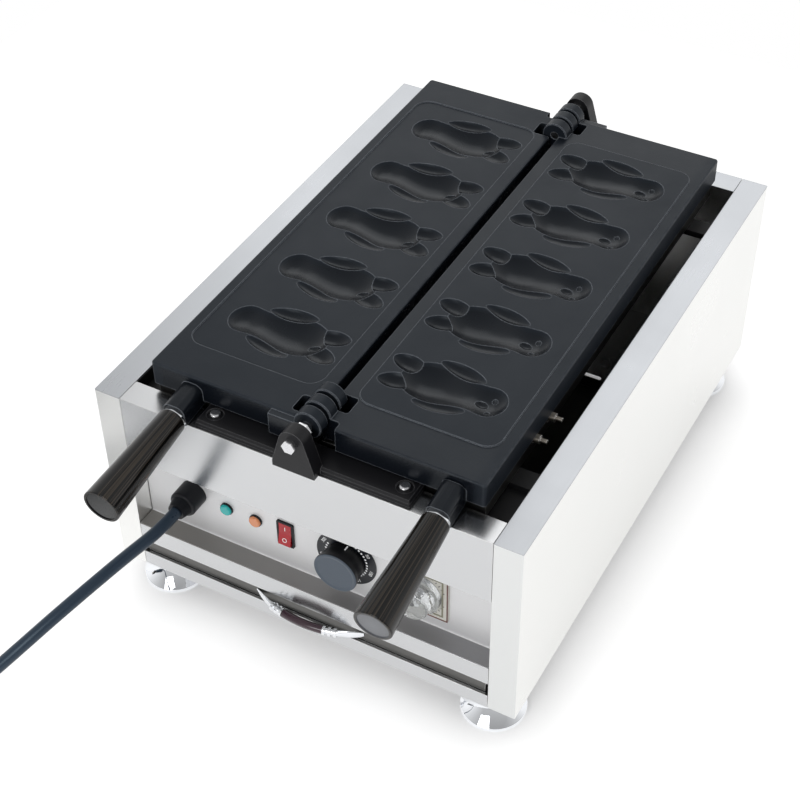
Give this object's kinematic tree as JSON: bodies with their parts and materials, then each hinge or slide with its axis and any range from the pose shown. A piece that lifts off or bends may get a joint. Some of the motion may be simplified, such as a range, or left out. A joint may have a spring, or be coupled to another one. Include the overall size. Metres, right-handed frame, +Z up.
{
  "type": "moulded-cake maker",
  "caption": "Counter-top cake maker: two hinged cast mould plates on a steel housing with handles, control panel, crumb drawer, feet and mains cord.",
  "frame": {"origin": "on the counter, below the middle of the outline measured without the cord", "axes": "+X to the right of someone at the handles, +Y to the back along the hinge axis, +Z up"},
  "size_m": [0.6367, 0.8053, 0.29],
  "materials": {
    "steel": "bright stainless sheet, lightly brushed",
    "black_steel": "matt black",
    "dull_steel": "bare sheet, darkened by heat",
    "zinc": "zinc plated",
    "casting": "dark non-stick coating, satin",
    "black_casting": "matt black with worn edges",
    "chrome": "polished",
    "grip": "glossy brown-black phenolic",
    "heater_tube": "dull sheath",
    "black_plastic": "satin",
    "scale": "printed, satin",
    "cream": "satin",
    "clear": "clear moulded",
    "green_lens": "translucent",
    "amber_lens": "translucent",
    "red": "gloss",
    "sleeve": "dark purple-brown, gloss",
    "cord": "ribless rubber sheath",
    "plug": "moulded rubber",
    "pin": "nickel-plated",
    "ceramic": "off-white"
  },
  "bodies": {
    "housing": {"left_side_panel": "steel", "right_side_panel": "steel", "back_panel": "steel", "front_deck": "steel", "control_panel": "steel", "upper_front_rail": "steel", "lower_front_rail": "steel", "base_pan": "zinc", "left_liner": "black_steel", "right_liner": "black_steel", "heat_shield": "black_steel", "front_plate_rail": "black_steel", "rear_plate_rail": "black_steel", "drawer_runners": "zinc", "foot_front_left": "chrome", "foot_rear_left": "chrome", "foot_front_right": "chrome", "foot_rear_right": "chrome", "foot_nuts": "zinc", "front_hinge_bracket": "black_casting", "rear_hinge_bracket": "black_casting", "bracket_bolts": "zinc", "front_pivot_bolt": "zinc", "rear_pivot_bolt": "zinc", "pivot_nuts": "zinc", "cord_gland": "black_plastic", "lamp_bezels": "black_plastic", "green_lens": "green_lens", "amber_lens": "amber_lens", "switch_frame": "black_plastic", "thermostat_scale": "scale", "thermostat_body": "ceramic", "timer_plate": "cream", "timer_body": "ceramic", "terminal_block": "ceramic", "cord_tube": "cord", "cord_coil": "cord", "plug_body": "plug", "plug_pins": "pin"},
    "left_plate": {"left_plate": "casting", "left_heater": "heater_tube", "left_heater_cover": "dull_steel", "left_cover_screws": "zinc", "left_handle_stud": "chrome", "left_grip": "grip"},
    "right_plate": {"right_plate": "casting", "right_heater": "heater_tube", "right_heater_cover": "dull_steel", "right_cover_screws": "zinc", "right_handle_stud": "chrome", "right_grip": "grip"},
    "drawer": {"drawer_tray": "dull_steel", "drawer_pull": "chrome", "drawer_pull_sleeve": "sleeve"},
    "thermostat_knob": {"thermostat_knob": "black_plastic", "thermostat_shaft": "zinc"},
    "timer_knob": {"timer_knob": "clear", "timer_shaft": "zinc"},
    "power_rocker": {"switch_rocker": "red"}
  },
  "joints": [
    {"name": "left_plate_hinge", "type": "hinge", "parent": "housing", "child": "left_plate", "pos_m": [0, 0.04981, 0.277], "axis": [0, 1, 0], "range_deg": [0, 180]},
    {"name": "right_plate_hinge", "type": "hinge", "parent": "housing", "child": "right_plate", "pos_m": [0, 0.04981, 0.277], "axis": [0, -1, 0], "range_deg": [0, 180]},
    {"name": "drawer_slide", "type": "slide", "parent": "housing", "child": "drawer", "axis": [0, -1, 0], "range_m": [0, 0.3]},
    {"name": "thermostat_turn", "type": "hinge", "parent": "housing", "child": "thermostat_knob", "pos_m": [0.031, -0.20919, 0.133], "axis": [0, 1, 0], "range_deg": [0, 290]},
    {"name": "timer_turn", "type": "hinge", "parent": "housing", "child": "timer_knob", "pos_m": [0.104, -0.20919, 0.131], "axis": [0, 1, 0], "range_deg": [0, 300]},
    {"name": "power_rocker_tilt", "type": "hinge", "parent": "housing", "child": "power_rocker", "pos_m": [-0.0305, -0.20919, 0.1325], "axis": [1, 0, 0], "range_deg": [0, 16]}
  ]
}
